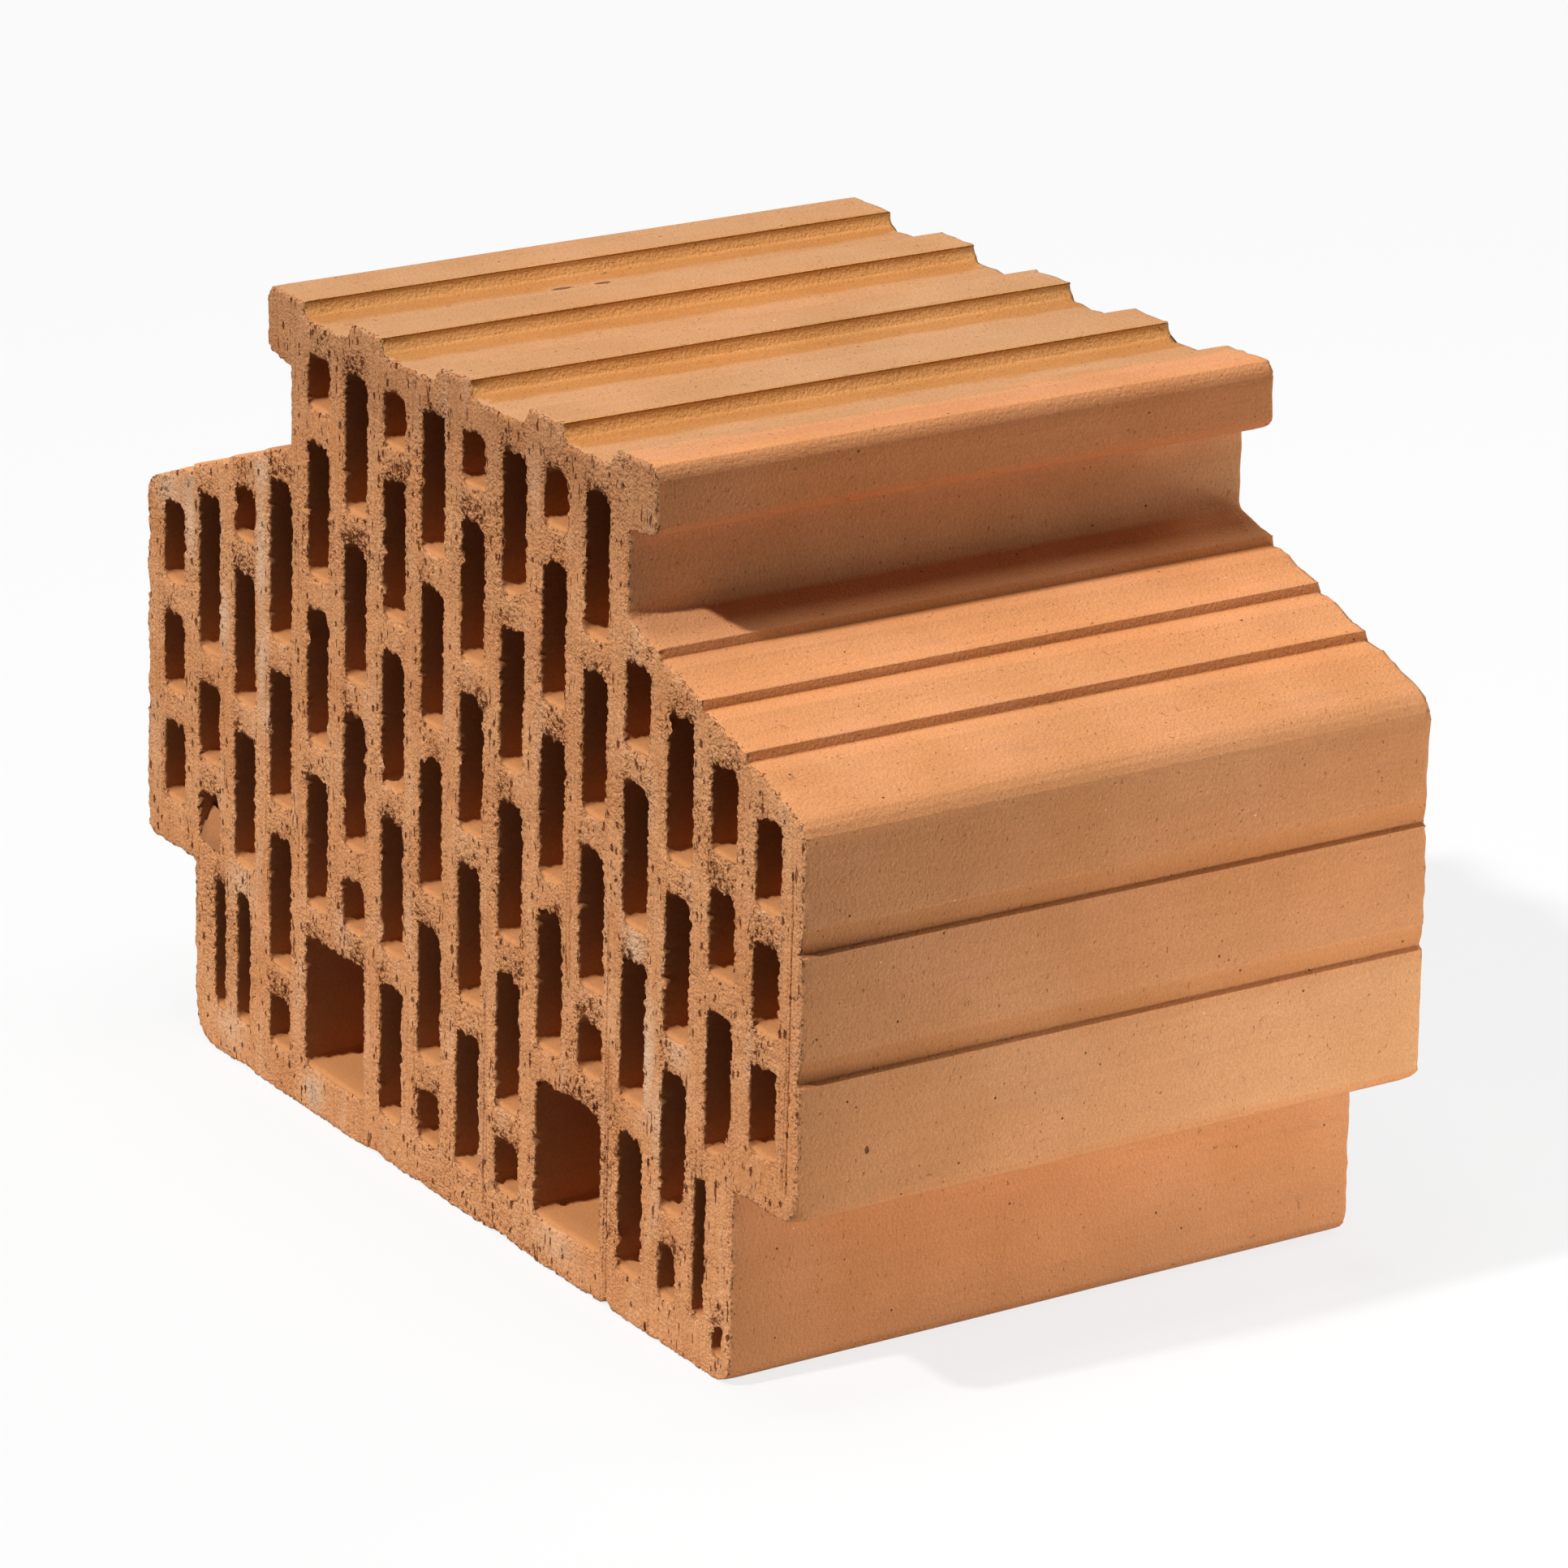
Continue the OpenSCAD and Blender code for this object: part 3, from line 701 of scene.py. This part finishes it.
# The wire has roughened the edge beside the near cut into frayed dents, darkened with painted shade, and a
# pale band along that edge is a painted highlight.
beside = sums(drawn, "MULTIPLY", add(drawn, "Attribute", attribute_name="edge").outputs["Fac"], 0.42)
frayed = sums(drawn, "SUBTRACT", speckle(drawn, 1.0, 3.0, (1, 1, 0.6), 0.12), beside)
frayed = shades(drawn, frayed, (0.08, 1.0), (0.14, 0.0))
colour = mix(drawn, shades(drawn, beside, (0.26, 0.0), (0.40, 0.55)), colour, (0.90, 0.52, 0.29))
colour = mix(drawn, frayed, colour, (0.36, 0.165, 0.075))
drawn.node_tree.links.new(colour, shader.inputs["Base Color"])
coarse = sums(drawn, "MULTIPLY", sums(drawn, "MULTIPLY", painted_light_and_shade_amount, painted_light_and_shade_amount), 0.3)
coarse = sums(drawn, "ADD", coarse, 1.35)
height = sums(drawn, "ADD", sums(drawn, "MULTIPLY", fine, 0.35), sums(drawn, "MULTIPLY", hammered, coarse))
height = sums(drawn, "SUBTRACT", height, sums(drawn, "MULTIPLY", frayed, 2.5))
height = sums(drawn, "SUBTRACT", height, sums(drawn, "MULTIPLY", pocks, 0.9))
height = sums(drawn, "ADD", height, sums(drawn, "MULTIPLY", drag, 0.5))
height = sums(drawn, "SUBTRACT", height, sums(drawn, "MULTIPLY", cracks, 0.6))
height = sums(drawn, "SUBTRACT", height, sums(drawn, "MULTIPLY", holes, 2.0))
relief = add(drawn, "Bump", {"Height": height, "Strength": 1.0, "Distance": 0.33 * mm})
drawn.node_tree.links.new(relief.outputs["Normal"], shader.inputs["Normal"])

# Inside the slots: smooth, with painted shade darkening the walls and painted light on the up-facing floors.
inner, shader = new_finish("slot_clay", 0.85)
fine = speckle(inner, 0.7, 3.0, shift=0.25)
drag = speckle(inner, 2.5, 3.0, (1, 0.04, 1), 0.85)
upright = add(inner, "SeparateXYZ", {0: add(inner, "NewGeometry").outputs["Normal"]}).outputs["Z"]
painted_floor_light = shades(inner, upright, (0.35, 0.0), (0.8, 1.0))
colour = mix(inner, painted_floor_light, (0.43, 0.180, 0.072), (0.72, 0.307, 0.114))
# A painted highlight along the front lip of the floors.
lip = shades(inner, add(inner, "Attribute", attribute_name="edge").outputs["Fac"], (0.70, 0.0), (0.86, 0.9))
colour = mix(inner, sums(inner, "MULTIPLY", lip, painted_floor_light), colour, (0.97, 0.62, 0.40))
colour = mix(inner, 1.0, colour, shades(inner, fine, (0.3, 0.88), (0.7, 1.08)), "MULTIPLY")
inner.node_tree.links.new(colour, shader.inputs["Base Color"])
height = sums(inner, "ADD", fine, drag)
relief = add(inner, "Bump", {"Height": height, "Strength": 1.0, "Distance": 0.12 * mm})
inner.node_tree.links.new(relief.outputs["Normal"], shader.inputs["Normal"])

for finish in (torn, drawn, inner):
    block.data.materials.append(finish)
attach(block, "root")
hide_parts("block")

# ---------------------------------------------------------------------------------------------
# The studio. A plain white floor and surround, a key lamp from the front and above, soft fills from above
# and behind, and four small white cards, lit low down on the right, that lighten the drawn side.

floor_radius = 6.0
floor_mesh = bmesh.new()
bmesh.ops.create_circle(floor_mesh, cap_ends=True, segments=96, radius=floor_radius)
bmesh.ops.translate(floor_mesh, vec=(0, 0, low.z), verts=floor_mesh.verts[:])
mesh = bpy.data.meshes.new("studio_floor")
floor_mesh.to_mesh(mesh)
floor_mesh.free()
floor = bpy.data.objects.new("studio_floor", mesh)
bpy.context.scene.collection.objects.link(floor)
white = bpy.data.materials.new("white_floor")
white.use_nodes = True
white.node_tree.nodes.clear()


def seen_directly(owner):
    """1 for what the eye, a gloss or a clear piece sees, and 0 for the light that falls on the block."""
    path = add(owner, "LightPath").outputs
    either = sums(owner, "MAXIMUM", path["Is Camera Ray"], path["Is Glossy Ray"])
    return sums(owner, "MAXIMUM", either, path["Is Transmission Ray"])


# The table under the block is pale for the light and white to the eye, and far off it meets the backdrop.
where = add(white, "TexCoord").outputs["Object"]
reach = add(white, "VectorMath", {0: where}, operation="LENGTH").outputs["Value"]
table = shades(white, reach, (0.30, (0.400, 0.365, 0.330)), (0.48, (0.02, 0.02, 0.02)))
seen = seen_directly(white)
far_off = sums(white, "MULTIPLY", sums(white, "SUBTRACT", reach, 1.0), 0.4)
matt = add(white, "BsdfDiffuse", {"Color": mix(white, seen, table, (0.85, 0.85, 0.85))})
glow = add(white, "Emission", {"Strength": 1.0})
blend = add(white, "MixShader", {
    "Fac": sums(white, "MULTIPLY", seen, shades(white, far_off, (0.0, 0.8), (1.0, 1.0))),
    1: matt.outputs["BSDF"], 2: glow.outputs["Emission"]})
add(white, "OutputMaterial", {"Surface": blend.outputs["Shader"]})
floor.data.materials.append(white)

world = bpy.data.worlds.new("studio")
bpy.context.scene.world = world
world.use_nodes = True
world.node_tree.nodes.clear()
fill = add(world, "Background", {"Color": (1, 1, 1, 1), "Strength": 0.01})
backdrop = add(world, "Background", {"Color": (1, 1, 1, 1), "Strength": 1.0})
blend = add(world, "MixShader", {
    "Fac": seen_directly(world), 1: fill.outputs["Background"], 2: backdrop.outputs["Background"]})
add(world, "OutputWorld", {"Surface": blend.outputs["Shader"]})


def lamp(name, kind, power, source, target, size):
    """A studio lamp that stands at source and faces target."""
    data = bpy.data.lights.new(name, kind)
    data.energy = power
    if kind == "SUN":
        data.angle = math.radians(size)
    else:
        data.shape = "SQUARE"
        data.size = size
    held = bpy.data.objects.new(name, data)
    bpy.context.scene.collection.objects.link(held)
    held.visible_camera = False
    held.location = source
    held.rotation_mode = "QUATERNION"
    held.rotation_quaternion = (Vector(target) - Vector(source)).to_track_quat("-Z", "Y")
    return held


lamp("key_lamp", "SUN", 2.83, Vector((-0.08, -0.9, 1.0)) * 2, (0, 0, 0), 3)
lamp("top_fill", "AREA", 9.6, (0, 0, 1.6), (0.05, 0, 0.1), 0.8)
lamp("far_fill", "AREA", 3.1, (0.2, 1.2, 1.3), (0.05, 0, 0.1), 0.5)
lamp("right_fill", "AREA", 0.8, (0.6, 0.6, 0.15), (0.05, 0, 0.1), 0.3)
for name, power, place, size in (
    ("near_card", 0.15, (0.50, 0.0, 0.06), 0.2), ("side_card", 0.108, (0.36, -0.02, 0.02), 0.08),
    ("middle_card", 0.122, (0.34, 0.12, 0.02), 0.08), ("far_card", 0.235, (0.34, 0.26, 0.02), 0.08),
):
    lamp(name, "AREA", power, place, (0.05, 0, 0.1), size)

# ---------------------------------------------------------------------------------------------
# The camera: a long lens two metres from the block, a little to the right of its near cut and a little
# above it.

view = bpy.data.cameras.new("camera")
view.sensor_width = 36
view.lens = 162.197
camera = bpy.data.objects.new("camera", view)
bpy.context.scene.collection.objects.link(camera)
azimuth, elevation, roll, distance = math.radians(57.918), math.radians(19.089), math.radians(0.227), 1.96377
aim = Vector((0.01497, 0.00135, 0.10890))
back = Vector((
    math.sin(azimuth) * math.cos(elevation), -math.cos(azimuth) * math.cos(elevation), math.sin(elevation)
))
camera.location = aim + back * distance
camera.rotation_mode = "QUATERNION"
camera.rotation_quaternion = (-back).to_track_quat("-Z", "Y") @ Quaternion((0, 0, 1), roll)
view.clip_start, view.clip_end = 0.05, 50
bpy.context.scene.camera = camera
bpy.context.scene.view_settings.view_transform = "Standard"
